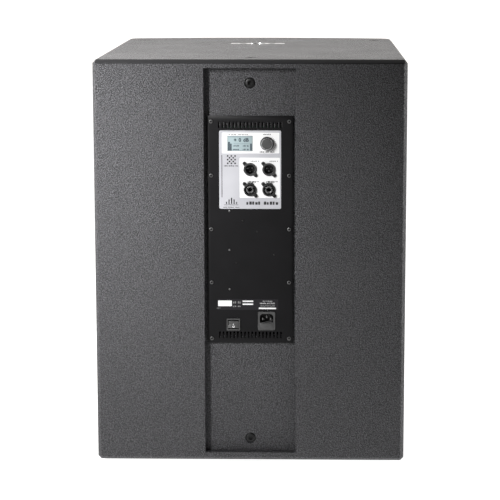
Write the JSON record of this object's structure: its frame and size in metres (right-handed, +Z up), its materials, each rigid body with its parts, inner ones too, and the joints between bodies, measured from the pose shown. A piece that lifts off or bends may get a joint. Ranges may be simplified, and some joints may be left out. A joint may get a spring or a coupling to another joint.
{
  "type": "powered subwoofer",
  "caption": "Tall powered subwoofer cabinet with a bowed front grille, side handles, pole socket on top and a recessed rear amplifier panel with display, knob, sockets, switch and mains inlet.",
  "frame": {"origin": "middle of the footprint, on the plane the feet stand on", "axes": "+Z up, -Y out of the grille, +Y out of the amplifier panel, X across the width"},
  "size_m": [0.54, 0.66, 0.717],
  "materials": {
    "cabinet_paint": "black structured scratch-resistant coating over birch plywood",
    "bare_plywood": "raw birch plywood",
    "grille_steel": "perforated steel sheet, black powder coat",
    "black_foam": "open-cell black foam",
    "black_rubber": "matte rubber",
    "black_steel": "black steel, satin",
    "zinc_steel": "zinc-plated steel",
    "cast_alloy": "cast aluminium, black coat",
    "cone_paper": "treated paper pulp",
    "spider_cloth": "impregnated cotton",
    "copper_wire": "enamelled copper winding",
    "ferrite": "sintered ferrite",
    "black_plastic": "glass-filled nylon, satin",
    "plate_black": "fine black powder coat",
    "label_silver": "printed silver-grey film",
    "display_clear": "clear display window over a pale reflective display",
    "circuit_board": "green solder mask",
    "grey_plastic": "grey-black moulded plastic, satin",
    "fuse_glass": "clear glass tube with metal caps",
    "aluminium": "extruded aluminium"
  },
  "bodies": {
    "cabinet": {"top_panel": "cabinet_paint", "bottom_panel": "cabinet_paint", "side_panel_left": "cabinet_paint", "side_panel_right": "cabinet_paint", "rear_panel": "cabinet_paint", "rear_board_left": "cabinet_paint", "rear_board_right": "cabinet_paint", "front_baffle": "cabinet_paint", "port_shelf": "bare_plywood", "window_brace": "bare_plywood", "front_grille": "grille_steel", "grille_foam": "black_foam", "woofer_gasket": "black_foam", "plate_gasket": "black_foam", "foot_front_left": "black_rubber", "foot_front_right": "black_rubber", "foot_rear_left": "black_rubber", "foot_rear_right": "black_rubber", "woofer_surround": "black_rubber", "speaker_cable": "black_rubber", "handle_left": "black_steel", "handle_right": "black_steel", "top_rigging_bolt_1": "black_steel", "top_rigging_bolt_2": "black_steel", "top_rigging_bolt_3": "black_steel", "rear_rigging_bolt_1": "black_steel", "rear_rigging_bolt_2": "black_steel", "pole_mount": "zinc_steel", "woofer_top_plate": "zinc_steel", "woofer_back_plate": "zinc_steel", "amp_chassis": "zinc_steel", "encoder_body": "zinc_steel", "woofer_basket": "cast_alloy", "woofer_spider": "spider_cloth", "woofer_magnet": "ferrite", "transformer": "ferrite", "woofer_terminal": "black_plastic", "xlr_output_1": "black_plastic", "xlr_output_2": "black_plastic", "combo_input_1": "black_plastic", "combo_input_2": "black_plastic", "amp_plate": "plate_black", "label_panel": "label_silver", "lcd_window": "display_clear", "lcd_module": "circuit_board", "amp_board": "circuit_board", "power_board": "circuit_board", "control_board": "circuit_board", "iec_inlet": "grey_plastic", "switch_housing": "grey_plastic", "heat_sink": "aluminium"},
    "fuse_drawer": {"fuse_drawer": "grey_plastic", "fuse": "fuse_glass"},
    "encoder_push": {"encoder_plunger": "black_plastic"},
    "volume_knob": {"encoder_shaft": "zinc_steel", "encoder_knob": "grey_plastic"},
    "mains_rocker": {"switch_rocker": "grey_plastic"},
    "woofer_moving": {"woofer_cone": "cone_paper", "woofer_dust_cap": "cone_paper", "woofer_voice_coil": "copper_wire"}
  },
  "joints": [
    {"name": "encoder_press", "type": "slide", "parent": "cabinet", "child": "encoder_push", "axis": [0, -1, 0], "range_m": [0, 0.0008], "stiffness_N_per_m": 6000},
    {"name": "volume_turn", "type": "hinge", "parent": "encoder_push", "child": "volume_knob", "pos_m": [-0.0294, 0.324, 0.572], "axis": [0, 1, 0], "continuous": true},
    {"name": "mains_switch_tip", "type": "hinge", "parent": "cabinet", "child": "mains_rocker", "pos_m": [0.0298, 0.3154, 0.2531], "axis": [-1, 0, 0], "range_deg": [0, 16]},
    {"name": "fuse_drawer_slide", "type": "slide", "parent": "cabinet", "child": "fuse_drawer", "axis": [0, 1, 0], "range_m": [0, 0.018]},
    {"name": "woofer_travel", "type": "slide", "parent": "cabinet", "child": "woofer_moving", "axis": [0, -1, 0], "range_m": [-0.009, 0.009], "stiffness_N_per_m": 9000, "deforming": ["woofer_surround", "woofer_spider"]}
  ]
}
